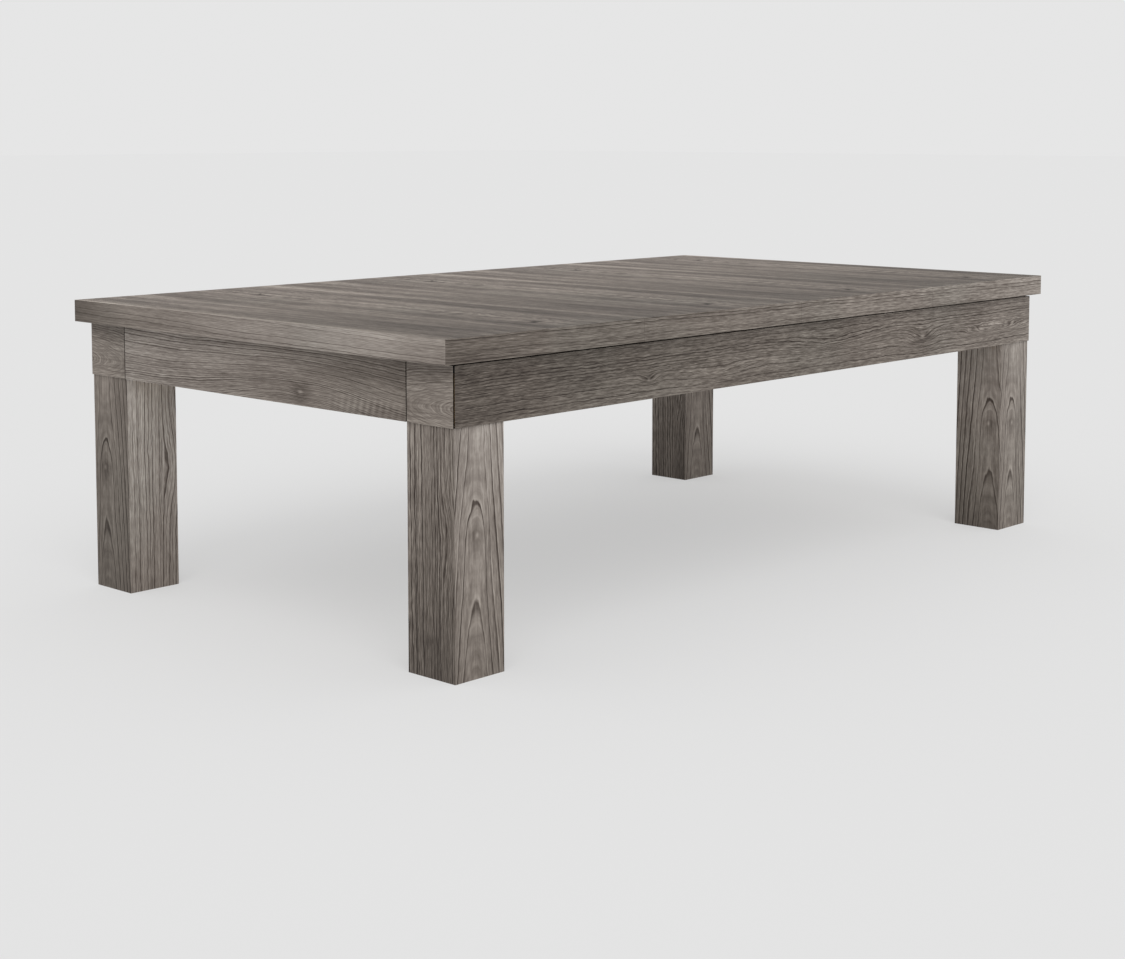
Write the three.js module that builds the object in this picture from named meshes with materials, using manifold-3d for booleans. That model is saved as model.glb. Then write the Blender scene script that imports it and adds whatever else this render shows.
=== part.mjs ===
// An eight-foot pool table closed with a four-leaf dining top.
// Units are millimetres. +X runs along the table, +Y across it and +Z up.
// The origin is on the floor, under the middle of the table.

import * as THREE from 'three';
import { mergeVertices } from 'three/addons/utils/BufferGeometryUtils.js';
import Module from 'manifold-3d';

const wasm = await Module();
wasm.setup();

// ---------------------------------------------------------------- driving dimensions

// Dining top: four leaves with mitred skirts, standing on the rails
const TOP_HEIGHT = 794;
const TOP_LENGTH = 2600;
const TOP_WIDTH = 1472;
const LEAF_BOARD = 19;
const SKIRT_DEPTH = 58.5;
const SEAM_POSITIONS = [-627, 21.5, 670];
const SEAM_GAP = 1;
const FELT_PAD = 2;

// Playing surface
const PLAY_LENGTH = 2235;
const PLAY_WIDTH = 1118;
const RAIL_HEIGHT = 38;
const RAIL_WIDTH = 105;
const CUSHION_DEPTH = 51;
const SLATE_THICKNESS = 25;
const SLATE_LENGTH = 2472;
const SLATE_WIDTH = 1394;
const CLOTH_THICKNESS = 1;

// Cushion section, as heights above the slate
const NOSE_TOP = 35.5;
const NOSE_BOTTOM = 32.5;
const CUSHION_HEEL = 10;
const CUSHION_CREST = 37.5;
const CREST_SETBACK = 4;

// Pockets. A jaw is how far a cushion's nose stops from the pocket's middle line,
// and a slant is how much further it reaches for each millimetre of depth.
const CORNER_JAW = 90;
const CORNER_SLANT = 1.275;
const SIDE_JAW = 70;
const SIDE_SLANT = 0.25;
const CORNER_HOLE_RADIUS = 60;
const CORNER_HOLE_OFFSET = 25;
const CORNER_RAIL_STOP = 27.5;
const SIDE_HOLE_RADIUS = 54;
const SIDE_HOLE_OFFSET = 58;
const SIDE_RAIL_STOP = 63.5;
const CUP_WALL = 3;
const CUP_DEPTH = 105;
const CUP_CLEARANCE = 1.5;

// Cabinet and its cladding
const CABINET_LENGTH = 2520;
const CABINET_WIDTH = 1442;
const APRON_THICKNESS = 19;
const APRON_TOP = 730;
const APRON_BOTTOM = 588;
const APRON_JOINT = 4;
const CABINET_BOARD = 25;
const CROSS_BEAM_WIDTH = 40;
const CROSS_BEAM_BOTTOM = 600;
const LEG_BOARD_THICKNESS = 25;

// Legs and leveller feet
const LEG_WIDTH = 157;
const LEG_INSET = 4;
const FOOT_RADIUS = 25;
const FOOT_THICKNESS = 8;
const FOOT_ROD_RADIUS = 5;
const FOOT_ROD_TOP = 70;
const FOOT_POCKET_RADIUS = 27;
const FOOT_POCKET_DEPTH = 12;
const ROD_BORE_RADIUS = 6;
const ROD_BORE_DEPTH = 90;

const ROUND_SEGMENTS = 40;

// ---------------------------------------------------------------- derived sizes

const halfTopLength = TOP_LENGTH / 2;
const halfTopWidth = TOP_WIDTH / 2;
const leafUnderside = TOP_HEIGHT - LEAF_BOARD;
const skirtBottom = TOP_HEIGHT - SKIRT_DEPTH;
const railTop = leafUnderside - FELT_PAD;
const slateTop = railTop - RAIL_HEIGHT;
const slateBottom = slateTop - SLATE_THICKNESS;
const noseX = PLAY_LENGTH / 2;
const noseY = PLAY_WIDTH / 2;
const railInnerX = noseX + CUSHION_DEPTH;
const railInnerY = noseY + CUSHION_DEPTH;
const railOuterX = railInnerX + RAIL_WIDTH;
const railOuterY = railInnerY + RAIL_WIDTH;
const cabinetX = CABINET_LENGTH / 2;
const cabinetY = CABINET_WIDTH / 2;
const frameOuterX = cabinetX - APRON_THICKNESS;
const frameOuterY = cabinetY - APRON_THICKNESS;
const frameInnerX = frameOuterX - CABINET_BOARD;
const frameInnerY = frameOuterY - CABINET_BOARD;
const legOuterX = cabinetX - LEG_INSET;
const legOuterY = cabinetY - LEG_INSET;
const legInnerX = legOuterX - LEG_WIDTH;
const legInnerY = legOuterY - LEG_WIDTH;
const slateLength = SLATE_LENGTH / 3;

const cornerHole = { x: noseX + CORNER_HOLE_OFFSET, y: noseY + CORNER_HOLE_OFFSET };
const sideHole = { x: 0, y: noseY + SIDE_HOLE_OFFSET };

// ---------------------------------------------------------------- materials

function finish(color, roughness, metalness = 0) {
  return new THREE.MeshStandardMaterial({ color, roughness, metalness });
}

const oak = finish(0x7d756f, 0.6);
const plainWood = finish(0xb59a73, 0.75);
const plywood = finish(0xa98f6c, 0.8);
const slateStone = finish(0x4a4e52, 0.8);
const greenCloth = finish(0x2f6149, 0.95);
const pocketPlastic = finish(0x1d1c1b, 0.5);
const footSteel = finish(0x9a9c9e, 0.4, 0.9);

// ---------------------------------------------------------------- solid helpers

// A box between two corners.
function box(low, high) {
  const size = high.map((value, axis) => value - low[axis]);
  const middle = high.map((value, axis) => (value + low[axis]) / 2);
  return new THREE.BoxGeometry(...size).translate(...middle);
}

// An upright cylinder.
function cylinder(radius, x, y, bottom, top) {
  const geometry = new THREE.CylinderGeometry(radius, radius, top - bottom, ROUND_SEGMENTS);
  return geometry.rotateX(Math.PI / 2).translate(x, y, (bottom + top) / 2);
}

// A plan outline pulled up from one height to another.
function upright(points, bottom, top) {
  const outline = new THREE.Shape(points.map(([x, y]) => new THREE.Vector2(x, y)));
  const geometry = new THREE.ExtrudeGeometry(outline, { depth: top - bottom, bevelEnabled: false });
  return geometry.translate(0, 0, bottom);
}

// A board with mitred edges: its top face and its lower face are rectangles of
// different size. Each rectangle is [low x, low y, high x, high y].
function taperedBoard(upper, lower, bottom, top) {
  const geometry = new THREE.BoxGeometry(2, 2, 2);
  const place = geometry.attributes.position;
  for (let i = 0; i < place.count; i += 1) {
    const rectangle = place.getZ(i) > 0 ? upper : lower;
    const x = place.getX(i) > 0 ? rectangle[2] : rectangle[0];
    const y = place.getY(i) > 0 ? rectangle[3] : rectangle[1];
    place.setXYZ(i, x, y, place.getZ(i) > 0 ? top : bottom);
  }
  geometry.computeVertexNormals();
  return geometry;
}

// A bar with a constant section, lying along X. The section's points are
// [depth, height], and depth runs along +Y from the bar's front line. Each end may
// slant: it moves outwards by its slant for every millimetre of depth.
function bar(section, start, end, startSlant = 0, endSlant = 0) {
  const outline = new THREE.Shape(section.map(([depth, height]) => new THREE.Vector2(depth, height)));
  const geometry = new THREE.ExtrudeGeometry(outline, { depth: 1, bevelEnabled: false });
  const place = geometry.attributes.position;
  for (let i = 0; i < place.count; i += 1) {
    const depth = place.getX(i);
    const height = place.getY(i);
    const atEnd = place.getZ(i) > 0.5;
    const x = atEnd ? end + depth * endSlant : start - depth * startSlant;
    place.setXYZ(i, x, depth, height);
  }
  return closed(geometry);
}

// Joins the shared vertices of a closed geometry, so that only its shape is left.
function closed(geometry) {
  geometry.deleteAttribute('normal');
  geometry.deleteAttribute('uv');
  const merged = mergeVertices(geometry);
  merged.computeVertexNormals();
  return merged;
}

function toSolid(geometry) {
  const merged = closed(geometry.index ? geometry.toNonIndexed() : geometry);
  const vertProperties = new Float32Array(merged.attributes.position.array);
  const triVerts = new Uint32Array(merged.index.array);
  return new wasm.Manifold(new wasm.Mesh({ numProp: 3, vertProperties, triVerts }));
}

function fromSolid(solid) {
  const mesh = solid.getMesh();
  const geometry = new THREE.BufferGeometry();
  geometry.setAttribute('position', new THREE.BufferAttribute(mesh.vertProperties, 3));
  geometry.setIndex(new THREE.BufferAttribute(mesh.triVerts, 1));
  geometry.computeVertexNormals();
  return geometry;
}

// One geometry with others cut out of it.
function cut(body, ...tools) {
  const solid = tools.reduce((left, tool) => left.subtract(toSolid(tool)), toSolid(body));
  return fromSolid(solid);
}

function joined(...pieces) {
  const solids = pieces.map(toSolid);
  return fromSolid(solids.reduce((whole, solid) => whole.add(solid)));
}

// ---------------------------------------------------------------- placing the pieces

const table = new THREE.Group();

// A mirrored piece keeps its outside faces outside: the turn is done on its points.
function mirrored(geometry, flipX, flipY) {
  const copy = geometry.index ? geometry.toNonIndexed() : geometry.clone();
  copy.scale(flipX, flipY, 1);
  if (flipX * flipY < 0) {
    const place = copy.attributes.position;
    for (let i = 0; i < place.count; i += 3) {
      const second = [place.getX(i + 1), place.getY(i + 1), place.getZ(i + 1)];
      place.setXYZ(i + 1, place.getX(i + 2), place.getY(i + 2), place.getZ(i + 2));
      place.setXYZ(i + 2, ...second);
    }
  }
  copy.computeVertexNormals();
  return copy;
}

function add(name, geometry, material) {
  const mesh = new THREE.Mesh(geometry, material);
  mesh.name = name;
  table.add(mesh);
}

// Front is -Y and left is -X. Every corner piece is drawn at the back right corner.
const CORNERS = [
  ['front_left', -1, -1],
  ['front_right', 1, -1],
  ['back_left', -1, 1],
  ['back_right', 1, 1],
];
const LONG_SIDES = [['front', -1], ['back', 1]];
const ENDS = [['left', -1], ['right', 1]];

// ---------------------------------------------------------------- dining top

// The skirt's section: its top edge is mitred under the leaf board.
const skirtSection = [
  [0, skirtBottom],
  [LEAF_BOARD, skirtBottom],
  [LEAF_BOARD, leafUnderside],
  [0, TOP_HEIGHT],
];

function addLeaf(number, start, end, isFirst, isLast) {
  const startMitre = isFirst ? LEAF_BOARD : 0;
  const endMitre = isLast ? LEAF_BOARD : 0;
  const lowerY = halfTopWidth - LEAF_BOARD;
  const upper = [start, -halfTopWidth, end, halfTopWidth];
  const lower = [start + startMitre, -lowerY, end - endMitre, lowerY];
  add(`leaf_${number}_panel`, taperedBoard(upper, lower, leafUnderside, TOP_HEIGHT), oak);

  const skirt = bar(skirtSection, start, end, isFirst ? -1 : 0, isLast ? -1 : 0);
  const front = skirt.clone().translate(0, -halfTopWidth, 0);
  add(`leaf_${number}_front_skirt`, front, oak);
  add(`leaf_${number}_back_skirt`, mirrored(front, 1, -1), oak);
}

function addEndSkirts() {
  const skirt = bar(skirtSection, -halfTopWidth, halfTopWidth, -1, -1);
  const left = skirt.rotateZ(-Math.PI / 2);
  left.translate(-halfTopLength, 0, 0);
  snap(left);
  add('leaf_1_end_skirt', left, oak);
  add('leaf_4_end_skirt', mirrored(left, -1, 1), oak);
}

// Clears the rounding that a quarter turn leaves on the points.
function snap(geometry) {
  const place = geometry.attributes.position;
  const clear = (value) => Math.round(value * 1000) / 1000;
  for (let i = 0; i < place.count; i += 1) {
    place.setXYZ(i, clear(place.getX(i)), clear(place.getY(i)), clear(place.getZ(i)));
  }
  geometry.computeVertexNormals();
}

function addDiningTop() {
  const starts = [-halfTopLength, ...SEAM_POSITIONS.map((x) => x + SEAM_GAP / 2)];
  const ends = [...SEAM_POSITIONS.map((x) => x - SEAM_GAP / 2), halfTopLength];
  starts.forEach((start, index) => {
    addLeaf(index + 1, start, ends[index], index === 0, index === starts.length - 1);
  });
  addEndSkirts();
}

// ---------------------------------------------------------------- rails and cushions

const cushionSection = [
  [0, slateTop + NOSE_BOTTOM],
  [CUSHION_DEPTH, slateTop + CUSHION_HEEL],
  [CUSHION_DEPTH, railTop],
  [CREST_SETBACK, slateTop + CUSHION_CREST],
  [0, slateTop + NOSE_TOP],
];

function addSideRails() {
  const railStart = SIDE_RAIL_STOP;
  const railEnd = noseX - CORNER_RAIL_STOP;
  const rail = box([railStart, railInnerY, slateTop], [railEnd, railOuterY, railTop]);
  const cushion = bar(cushionSection, SIDE_JAW, noseX - CORNER_JAW, SIDE_SLANT, CORNER_SLANT);
  cushion.translate(0, noseY, 0);
  for (const [name, flipX, flipY] of CORNERS) {
    add(`rail_${name}`, mirrored(rail, flipX, flipY), oak);
    add(`cushion_${name}`, mirrored(cushion, flipX, flipY), greenCloth);
  }
}

function addEndRails() {
  const reach = noseY - CORNER_RAIL_STOP;
  const jaw = noseY - CORNER_JAW;
  const rail = box([railInnerX, -reach, slateTop], [railOuterX, reach, railTop]);
  const cushion = bar(cushionSection, -jaw, jaw, CORNER_SLANT, CORNER_SLANT);
  cushion.rotateZ(-Math.PI / 2).translate(noseX, 0, 0);
  snap(cushion);
  for (const [name, flipX] of ENDS) {
    add(`rail_${name}`, mirrored(rail, flipX, 1), oak);
    add(`cushion_${name}`, mirrored(cushion, flipX, 1), greenCloth);
  }
}

// ---------------------------------------------------------------- pockets

// A drop cup below the slate, with an open top.
function cup(radius, x, y) {
  const bottom = slateTop - CUP_DEPTH;
  const outside = cylinder(radius + CUP_WALL, x, y, bottom, slateTop);
  const inside = cylinder(radius, x, y, bottom + CUP_WALL, slateTop + 1);
  return cut(outside, inside);
}

function cornerPocket() {
  const { x, y } = cornerHole;
  const railEndX = noseX - CORNER_RAIL_STOP;
  const railEndY = noseY - CORNER_RAIL_STOP;
  const outline = [
    [railEndX, railInnerY],
    [railInnerX, railInnerY],
    [railInnerX, railEndY],
    [railOuterX, railEndY],
    [railOuterX, railOuterY],
    [railEndX, railOuterY],
  ];
  const casting = upright(outline, slateTop, railTop);
  const hole = cylinder(CORNER_HOLE_RADIUS, x, y, slateTop - 1, railTop + 1);
  return joined(cut(casting, hole), cup(CORNER_HOLE_RADIUS, x, y));
}

function sidePocket() {
  const { x, y } = sideHole;
  const casting = box([-SIDE_RAIL_STOP, railInnerY, slateTop], [SIDE_RAIL_STOP, railOuterY, railTop]);
  const hole = cylinder(SIDE_HOLE_RADIUS, x, y, slateTop - 1, railTop + 1);
  return joined(cut(casting, hole), cup(SIDE_HOLE_RADIUS, x, y));
}

function addPockets() {
  const corner = cornerPocket();
  const side = sidePocket();
  for (const [name, flipX, flipY] of CORNERS) {
    add(`pocket_${name}`, mirrored(corner, flipX, flipY), pocketPlastic);
  }
  for (const [name, flipY] of LONG_SIDES) {
    add(`pocket_${name}_middle`, mirrored(side, 1, flipY), pocketPlastic);
  }
}

// ---------------------------------------------------------------- slate bed and cloth

// The six round cut-outs that the pocket cups pass through.
function pocketCutouts(clearance, bottom, top) {
  const cornerRadius = CORNER_HOLE_RADIUS + clearance;
  const sideRadius = SIDE_HOLE_RADIUS + clearance;
  const corners = CORNERS.map(([, flipX, flipY]) => (
    cylinder(cornerRadius, flipX * cornerHole.x, flipY * cornerHole.y, bottom, top)
  ));
  const sides = LONG_SIDES.map(([, flipY]) => (
    cylinder(sideRadius, sideHole.x, flipY * sideHole.y, bottom, top)
  ));
  return [...corners, ...sides];
}

function addBed() {
  const halfWidth = SLATE_WIDTH / 2;
  const cutouts = pocketCutouts(CUP_WALL + CUP_CLEARANCE, slateBottom - 1, slateTop + 1);
  ['left', 'middle', 'right'].forEach((name, index) => {
    const start = (index - 1.5) * slateLength;
    const blank = box([start, -halfWidth, slateBottom], [start + slateLength, halfWidth, slateTop]);
    add(`slate_${name}`, cut(blank, ...cutouts), slateStone);
  });
  const clothTop = slateTop + CLOTH_THICKNESS;
  const sheet = box([-railInnerX, -railInnerY, slateTop], [railInnerX, railInnerY, clothTop]);
  const holes = pocketCutouts(CUP_WALL, slateTop - 1, clothTop + 1);
  add('bed_cloth', cut(sheet, ...holes), greenCloth);
}

// ---------------------------------------------------------------- cabinet

function addCabinet() {
  const side = box([-frameOuterX, frameInnerY, APRON_BOTTOM], [frameOuterX, frameOuterY, slateBottom]);
  for (const [name, flipY] of LONG_SIDES) {
    add(`cabinet_${name}`, mirrored(side, 1, flipY), plainWood);
  }
  const end = box([frameInnerX, -frameInnerY, APRON_BOTTOM], [frameOuterX, frameInnerY, slateBottom]);
  const beamStart = slateLength / 2 - CROSS_BEAM_WIDTH / 2;
  const beam = box(
    [beamStart, -frameInnerY, CROSS_BEAM_BOTTOM],
    [beamStart + CROSS_BEAM_WIDTH, frameInnerY, slateBottom],
  );
  const boardTop = APRON_BOTTOM + LEG_BOARD_THICKNESS;
  const board = box([legInnerX, -frameInnerY, APRON_BOTTOM], [frameInnerX, frameInnerY, boardTop]);
  for (const [name, flipX] of ENDS) {
    add(`cabinet_${name}`, mirrored(end, flipX, 1), plainWood);
    add(`cross_beam_${name}`, mirrored(beam, flipX, 1), plainWood);
    add(`leg_board_${name}`, mirrored(board, flipX, 1), plywood);
  }
}

// ---------------------------------------------------------------- aprons

// The boards stand clear of each other: the long aprons and the corner panels in open
// mitres, and the end aprons and the corner panels in straight gaps of the same width,
// each over the inner face of a leg.
function addAprons() {
  const setback = APRON_JOINT * Math.SQRT1_2;
  const longApron = upright([
    [-cabinetX + setback, cabinetY],
    [-frameOuterX + setback, frameOuterY],
    [frameOuterX - setback, frameOuterY],
    [cabinetX - setback, cabinetY],
  ], APRON_BOTTOM, APRON_TOP);
  for (const [name, flipY] of LONG_SIDES) {
    add(`apron_${name}`, mirrored(longApron, 1, flipY), oak);
  }
  const panelStart = legInnerY + APRON_JOINT;
  const cornerPanel = upright([
    [frameOuterX, panelStart],
    [cabinetX, panelStart],
    [cabinetX, cabinetY - setback],
    [frameOuterX, frameOuterY - setback],
  ], APRON_BOTTOM, APRON_TOP);
  for (const [name, flipX, flipY] of CORNERS) {
    add(`corner_panel_${name}`, mirrored(cornerPanel, flipX, flipY), oak);
  }
  const endApron = box([frameOuterX, -legInnerY, APRON_BOTTOM], [cabinetX, legInnerY, APRON_TOP]);
  for (const [name, flipX] of ENDS) {
    add(`apron_${name}`, mirrored(endApron, flipX, 1), oak);
  }
}

// ---------------------------------------------------------------- legs and feet

function addLegs() {
  const middleX = (legInnerX + legOuterX) / 2;
  const middleY = (legInnerY + legOuterY) / 2;
  const post = box([legInnerX, legInnerY, 0], [legOuterX, legOuterY, APRON_BOTTOM]);
  const footPocket = cylinder(FOOT_POCKET_RADIUS, middleX, middleY, -1, FOOT_POCKET_DEPTH);
  const rodBore = cylinder(ROD_BORE_RADIUS, middleX, middleY, -1, ROD_BORE_DEPTH);
  const leg = cut(post, footPocket, rodBore);
  const disc = cylinder(FOOT_RADIUS, middleX, middleY, 0, FOOT_THICKNESS);
  const rod = cylinder(FOOT_ROD_RADIUS, middleX, middleY, 1, FOOT_ROD_TOP);
  const foot = joined(disc, rod);
  for (const [name, flipX, flipY] of CORNERS) {
    add(`leg_${name}`, mirrored(leg, flipX, flipY), oak);
    add(`foot_${name}`, mirrored(foot, flipX, flipY), footSteel);
  }
}

addDiningTop();
addSideRails();
addEndRails();
addPockets();
addBed();
addCabinet();
addAprons();
addLegs();

export default table;
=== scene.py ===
"""A pool table in grey washed oak, closed with a four-leaf dining top.

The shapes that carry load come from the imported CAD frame. This script gives them their
wood, stone and metal, and draws the cloth, cushions, pads, battens and fixings around them.
"""
import math
from dataclasses import dataclass
from functools import reduce

import bmesh
import bpy
from mathutils import Matrix, Vector


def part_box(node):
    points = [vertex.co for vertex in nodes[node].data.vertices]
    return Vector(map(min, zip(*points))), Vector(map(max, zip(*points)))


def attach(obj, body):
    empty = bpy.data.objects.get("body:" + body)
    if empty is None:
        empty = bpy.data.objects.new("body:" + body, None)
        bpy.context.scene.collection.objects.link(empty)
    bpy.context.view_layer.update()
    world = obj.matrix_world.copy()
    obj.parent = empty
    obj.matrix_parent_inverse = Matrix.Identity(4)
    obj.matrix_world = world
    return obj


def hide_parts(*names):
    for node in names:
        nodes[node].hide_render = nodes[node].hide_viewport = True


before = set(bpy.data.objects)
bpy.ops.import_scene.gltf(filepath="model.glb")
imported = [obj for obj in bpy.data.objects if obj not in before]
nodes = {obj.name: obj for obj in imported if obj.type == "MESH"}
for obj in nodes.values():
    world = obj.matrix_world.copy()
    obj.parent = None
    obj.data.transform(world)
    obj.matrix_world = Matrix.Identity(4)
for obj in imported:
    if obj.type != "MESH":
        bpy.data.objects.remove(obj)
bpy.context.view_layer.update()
MM = 0.001

LEAVES = (1, 2, 3, 4)
END_LEAVES = {1: -1, 4: 1}
CORNERS = {"front_left": (-1, -1), "front_right": (1, -1), "back_left": (-1, 1), "back_right": (1, 1)}
LONG_SIDES = {"front": -1, "back": 1}
ENDS = {"left": -1, "right": 1}

# ------------------------------------------------ camera, floor and light

CAMERA_PLACE = (-4.232, -3.853, 1.2574)
CAMERA_HEADING = 46.725
CAMERA_PITCH = 5.02
CAMERA_LENS = 62.17
CAMERA_SHIFT = -0.1596

SKY = 0.79
FLOOR_COLOUR = 0.30
FLOOR_GLOW = 0.46
KEY_STRENGTH = 1.25
KEY_ANGLE = 50
KEY_HEIGHT = 42
KEY_HEADING = 40


def make_camera():
    data = bpy.data.cameras.new("camera")
    data.lens = CAMERA_LENS
    data.sensor_width = 36.0
    data.shift_y = CAMERA_SHIFT
    data.clip_end = 200.0
    camera = bpy.data.objects.new("camera", data)
    camera.location = CAMERA_PLACE
    camera.rotation_euler = (math.radians(90 - CAMERA_PITCH), 0, math.radians(-CAMERA_HEADING))
    bpy.context.scene.collection.objects.link(camera)
    bpy.context.scene.camera = camera


def make_key_light():
    """A wide, soft light from high up, nearly behind the camera."""
    data = bpy.data.lights.new("key_light", "SUN")
    data.energy = KEY_STRENGTH
    data.angle = math.radians(KEY_ANGLE)
    light = bpy.data.objects.new("key_light", data)
    light.rotation_euler = (math.radians(90 - KEY_HEIGHT), 0, math.radians(-KEY_HEADING))
    bpy.context.scene.collection.objects.link(light)


def make_studio():
    world = bpy.data.worlds.new("studio")
    bpy.context.scene.world = world
    world.use_nodes = True
    world.node_tree.nodes["Background"].inputs["Color"].default_value = (SKY, SKY, SKY, 1)
    bpy.context.scene.view_settings.view_transform = "Standard"

    bpy.ops.mesh.primitive_plane_add(size=160, location=(0, 0, 0))
    floor = bpy.context.object
    floor.name = "floor"
    graph = Graph("floor_paint")
    graph.set("Base Color", (FLOOR_COLOUR, FLOOR_COLOUR, FLOOR_COLOUR, 1))
    graph.set("Roughness", 0.95)
    graph.set("Specular IOR Level", 0.0)
    graph.set("Emission Color", (1, 1, 1, 1))
    graph.set("Emission Strength", FLOOR_GLOW)
    floor.data.materials.append(graph.material)


# ------------------------------------------------ material graphs

class Graph:
    """A material's nodes. Every method that makes a node gives back its output socket."""

    def __init__(self, name):
        self.material = bpy.data.materials.new(name)
        self.material.use_nodes = True
        self.tree = self.material.node_tree
        self.tree.nodes.clear()
        output = self.tree.nodes.new("ShaderNodeOutputMaterial")
        self.shader = self.tree.nodes.new("ShaderNodeBsdfPrincipled")
        self.tree.links.new(self.shader.outputs[0], output.inputs[0])

    def feed(self, socket, value):
        if isinstance(value, bpy.types.NodeSocket):
            self.tree.links.new(value, socket)
        else:
            socket.default_value = value

    def set(self, name, value):
        self.feed(self.shader.inputs[name], value)

    def make(self, kind, *values, **settings):
        """A node with these settings, its first inputs fed with these values."""
        node = self.tree.nodes.new(f"ShaderNode{kind}")
        for name, setting in settings.items():
            setattr(node, name, setting)
        for socket, value in zip(node.inputs, values):
            self.feed(socket, value)
        return node

    def math(self, operation, *values):
        return self.make("Math", *values, operation=operation).outputs[0]

    def add(self, first, *others):
        return reduce(lambda total, value: self.math("ADD", total, value), others, first)

    def times(self, first, *others):
        return reduce(lambda total, value: self.math("MULTIPLY", total, value), others, first)

    def linear(self, value, factor, offset=0.0):
        return self.math("MULTIPLY_ADD", value, factor, offset)

    def centred(self, value, spread):
        """A value from 0 to 1, made to swing by a spread about zero."""
        return self.linear(value, spread, -spread / 2)

    def vector(self, x, y, z):
        return self.make("CombineXYZ", x, y, z).outputs[0]

    def split(self, vector):
        return list(self.make("SeparateXYZ", vector).outputs)

    def place(self):
        return self.make("TexCoord").outputs["Object"]

    def noise(self, place, detail=2.0, roughness=0.5, distortion=0.0, scale=1.0, output="Fac"):
        node = self.make("TexNoise", place)
        node.inputs["Scale"].default_value = scale
        node.inputs["Detail"].default_value = detail
        node.inputs["Roughness"].default_value = roughness
        node.inputs["Distortion"].default_value = distortion
        return node.outputs[output]

    def cells(self, place, scale):
        node = self.make("TexVoronoi", place)
        node.inputs["Scale"].default_value = scale
        return node.outputs["Distance"]

    def random_for(self, number):
        node = self.make("TexWhiteNoise", noise_dimensions="1D")
        self.feed(node.inputs["W"], number)
        return node.outputs["Value"]

    def smooth(self, value, low, high, result_low=0.0, result_high=1.0):
        return self.make("MapRange", value, low, high, result_low, result_high,
                         interpolation_type="SMOOTHSTEP").outputs[0]

    def ramp(self, value, stops):
        node = self.make("ValToRGB", value)
        elements = node.color_ramp.elements
        while len(elements) < len(stops):
            elements.new(0.5)
        for element, (position, colour) in zip(elements, stops):
            element.position = position
            element.color = (*colour, 1)
        return node.outputs[0]

    def mix(self, factor, first, second, blend="MIX"):
        node = self.make("Mix", data_type="RGBA", blend_type=blend)
        self.feed(node.inputs["Factor"], factor)
        self.feed(node.inputs[6], first)
        self.feed(node.inputs[7], second)
        return node.outputs[2]

    def choose(self, factor, first, second):
        """One number where the factor is 0, and the other where it is 1."""
        return self.add(first, self.times(factor, self.math("SUBTRACT", second, first)))

    def bump(self, height, strength, distance):
        node = self.make("Bump")
        node.inputs["Strength"].default_value = strength
        node.inputs["Distance"].default_value = distance
        self.feed(node.inputs["Height"], height)
        self.tree.links.new(node.outputs[0], self.shader.inputs["Normal"])


def linear_part(value):
    """The linear value of one part of an ordinary 0 to 255 colour."""
    value /= 255
    return value / 12.92 if value <= 0.04045 else ((value + 0.055) / 1.055) ** 2.4


def between(low, high):
    """A ramp from one colour to another in even steps of ordinary brightness."""
    steps = 5
    stops = []
    for step in range(steps):
        part = step / (steps - 1)
        stops.append((part, [linear_part(a + (b - a) * part) for a, b in zip(low, high)]))
    return stops


# ------------------------------------------------ sawn wood

WEAR = 0.06
WARMTH = 0.06
NOISE_REACH = 4.0
FLATTEST_CUT = 0.35

# How much each mark on the wood darkens or lightens it
LINE_DEPTH = 0.50
PALE_LINE = 0.16
FINE_LINE_DEPTH = 0.30
PORE_CONTRAST = 0.75
BRUSH_CONTRAST = 0.60
FLECK_CONTRAST = 0.9
BAND_CONTRAST = 0.7
KNOT_RING_DEPTH = 0.25
KNOT_EYE = 0.40
END_GRAIN_STAIN = 0.72
OAK = between((54, 46, 41), (188, 181, 173))
SOFTWOOD = between((128, 96, 58), (226, 200, 156))


@dataclass
class Figure:
    """How a board was cut from its log. Lengths are metres, measured along the board from
    one end, across it from its middle, and in from the face that shows."""
    pith: tuple = (0.0, 0.09)        # the log's middle, across and in
    lean: tuple = (0.0, 0.03)        # how that moves for each metre along
    ring: float = 0.006              # distance between growth rings
    phase: float = 0.0               # shifts every ring by this part of a ring
    wander: float = 0.004            # slow wandering of the rings
    ripple: float = 0.25             # quick ripple, in rings
    swells: tuple = ()               # (along, across, length, width, rings)
    knots: tuple = ()                # (along, across, radius)
    knot_swell: float = 1.6          # how far a knot pushes the rings, in its radii
    curl: tuple = ()                 # (along, across, length, width, spacing, strength)
    seed: float = 0.0                # which board of its kind this is
    offset: float = 0.0              # where this piece starts on the board it was cut from
    length: float = 0.0              # that board's length, or 0 for the piece's own
    tone: tuple = (1.0, 1.0)         # brightness from its start, or start and middle, to its end
    tint: float = 0.0                # how much redder the board is, and less blue
    lines: float = 1.0               # how dark the rings are
    even: float = 0.15               # how much of that every ring has
    fine: float = 1.0                # how dark the thin lines between them are
    streaks: float = 1.0             # how strong the pores and the brush marks are
    flecks: tuple = (0.5, 0.5)       # short wavy marks, at the board's start and at its end
    bands: float = 0.5               # broad soft stripes along the grain
    pale_sides: float = 0.0          # how much paler the two long sides are


def hill(graph, u, v, along, across, length, width):
    """1 at one place of a board, fading to 0 over a length and a width."""
    du = graph.linear(u, 1 / length, -along / length)
    dv = graph.linear(v, 1 / width, -across / width)
    square = graph.add(graph.times(du, du), graph.times(dv, dv))
    return graph.math("EXPONENT", graph.times(square, -1.0))


def stretched(graph, place, along, across, shifts):
    """A place in a board, scaled so that a noise there is drawn out along the grain."""
    scales = (along, across, across)
    return graph.vector(*(graph.linear(part, scale, shift)
                          for part, scale, shift in zip(place, scales, shifts)))


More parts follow.
